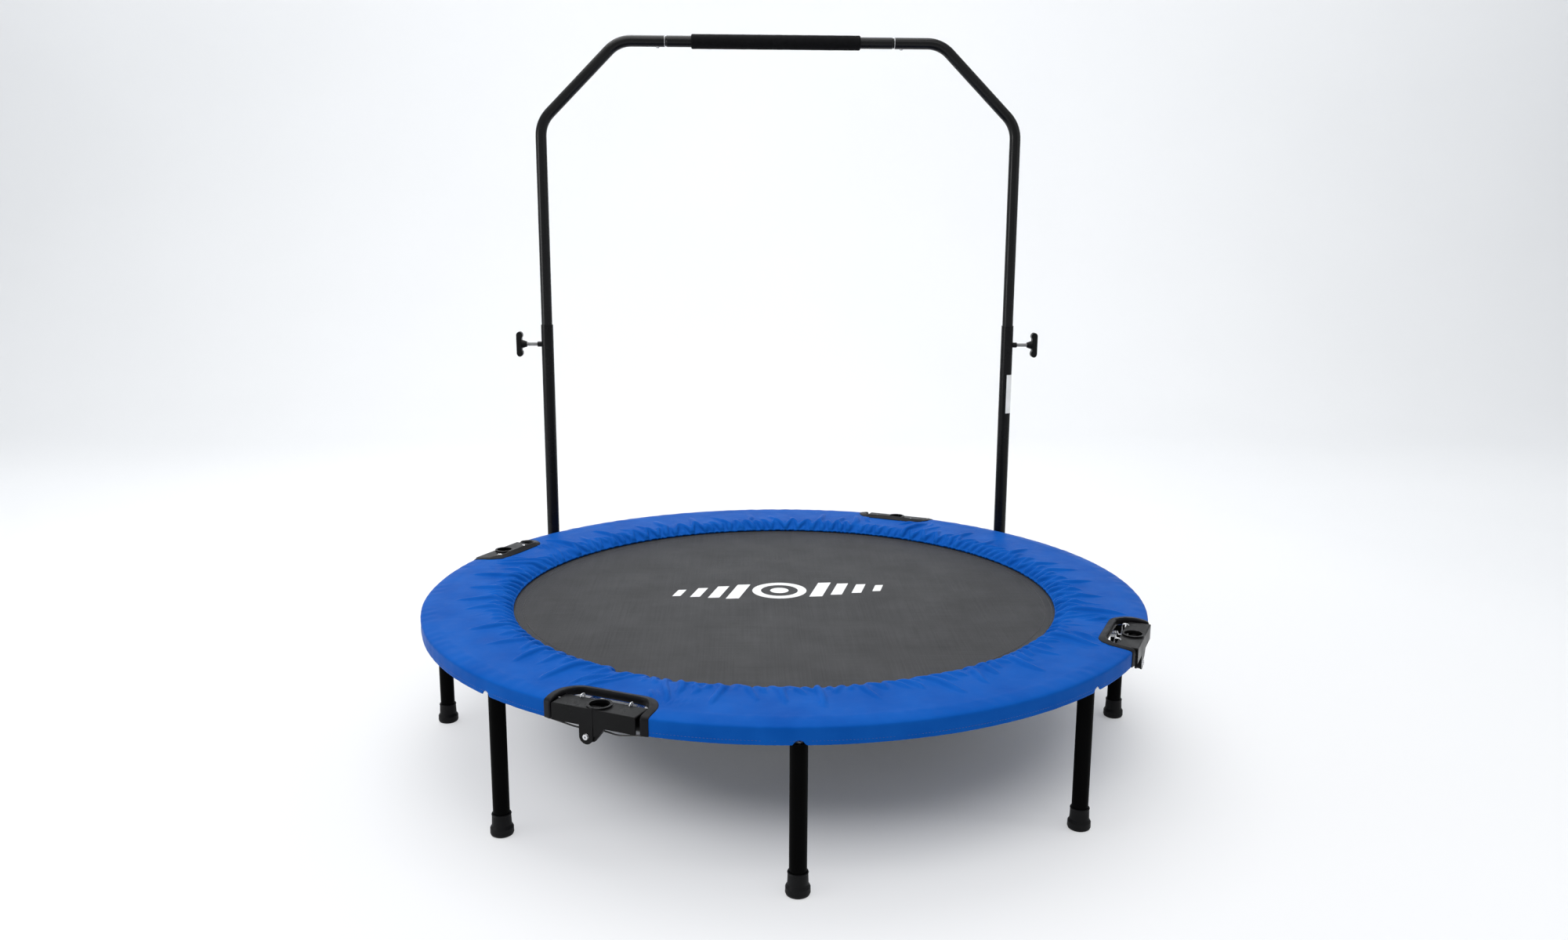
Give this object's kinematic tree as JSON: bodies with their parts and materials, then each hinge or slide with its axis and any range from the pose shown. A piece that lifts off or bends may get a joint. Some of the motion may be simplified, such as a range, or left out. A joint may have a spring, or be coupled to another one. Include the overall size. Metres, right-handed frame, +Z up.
{
  "type": "mini trampoline",
  "caption": "Round folding mini trampoline with a padded cover over the springs, straight screw-in legs and a height-adjustable U-shaped handle bar.",
  "frame": {"origin": "on the floor, at the centre of the ring", "axes": "+Z up, +Y towards the handle bar at the back, +X to the right of someone facing the handle bar"},
  "size_m": [1.272, 1.272, 1.2745],
  "materials": {
    "frame_tube": "satin",
    "leg_tube": "satin",
    "post_tube": "satin",
    "handle_tube": "satin",
    "hinge_steel": "satin",
    "zinc": "satin",
    "spring_steel": "bright",
    "button_steel": "satin",
    "guard_vinyl": "matt",
    "webbing": "woven",
    "mat_fabric": "woven",
    "foam": "closed-cell foam",
    "cover_fabric": "satin nylon",
    "foot_rubber": "matt",
    "end_cap": "matt",
    "spacer_plastic": "matt",
    "grip_foam": "matt foam",
    "knob_plastic": "fine grain",
    "label": "paper-like film"
  },
  "bodies": {
    "rear_half": {"blank_label": "label", "cover_foam_rear": "foam", "cover_rear_half": "cover_fabric", "feet_rear": "foot_rubber", "frame_inserts_rear": "zinc", "frame_tube_rear_left": "frame_tube", "frame_tube_rear_right": "frame_tube", "handle_post_left": "post_tube", "handle_post_right": "post_tube", "hinge_clevis_back": "hinge_steel", "hinge_guards_rear": "guard_vinyl", "hinge_knuckle_back": "hinge_steel", "hinge_knuckle_back_left": "hinge_steel", "hinge_knuckle_right": "hinge_steel", "hinge_rivets_rear": "zinc", "leg_rear": "leg_tube", "leg_rear_left": "leg_tube", "leg_rear_right": "leg_tube", "leg_right": "leg_tube", "leg_studs_rear": "zinc", "mat_rear_half": "mat_fabric", "mat_rings_rear": "spring_steel", "mat_webbing_rear": "webbing", "post_bolts": "zinc", "post_end_caps": "end_cap", "post_nuts": "zinc", "post_spacers": "spacer_plastic", "springs_rear": "spring_steel"},
    "front_half": {"cover_foam_front": "foam", "cover_front_half": "cover_fabric", "feet_front": "foot_rubber", "frame_inserts_front": "zinc", "frame_tube_front_left": "frame_tube", "frame_tube_front_right": "frame_tube", "hinge_clevis_back_left": "hinge_steel", "hinge_clevis_front_left": "hinge_steel", "hinge_clevis_right": "hinge_steel", "hinge_guards_front": "guard_vinyl", "hinge_knuckle_front_left": "hinge_steel", "hinge_rivets_front": "zinc", "leg_front": "leg_tube", "leg_front_left": "leg_tube", "leg_front_right": "leg_tube", "leg_left": "leg_tube", "leg_studs_front": "zinc", "mat_front_half": "mat_fabric", "mat_rings_front": "spring_steel", "mat_webbing_front": "webbing", "springs_front": "spring_steel"},
    "handle_bar": {"foam_grip": "grip_foam", "handle_centre_tube": "handle_tube", "handle_side_tube_left": "handle_tube", "handle_side_tube_right": "handle_tube"},
    "knob_left": {"knob_screw_left": "zinc", "t_knob_left": "knob_plastic"},
    "knob_right": {"knob_screw_right": "zinc", "t_knob_right": "knob_plastic"},
    "button_left": {"snap_button_left": "button_steel"},
    "button_right": {"snap_button_right": "button_steel"}
  },
  "joints": [
    {"name": "frame_fold", "type": "hinge", "parent": "rear_half", "child": "front_half", "pos_m": [-0.00504, -0.01034, 0.211], "axis": [0.8988, -0.4384, 0], "range_deg": [0, 95]},
    {"name": "handle_height", "type": "slide", "parent": "rear_half", "child": "handle_bar", "axis": [0, 0, 1], "range_m": [-0.16, 0]},
    {"name": "knob_turn_left", "type": "hinge", "parent": "rear_half", "child": "knob_left", "pos_m": [-0.4836, 0.4416, 0.6525], "axis": [-1, 0, 0], "range_deg": [0, 450]},
    {"name": "knob_turn_right", "type": "hinge", "parent": "rear_half", "child": "knob_right", "pos_m": [0.4836, 0.4416, 0.6525], "axis": [1, 0, 0], "range_deg": [0, 450]},
    {"name": "button_press_left", "type": "slide", "parent": "handle_bar", "child": "button_left", "axis": [0, 0, 1], "range_m": [0, 0.0025], "stiffness_N_per_m": 600},
    {"name": "button_press_right", "type": "slide", "parent": "handle_bar", "child": "button_right", "axis": [0, 0, 1], "range_m": [0, 0.0025], "stiffness_N_per_m": 600}
  ]
}
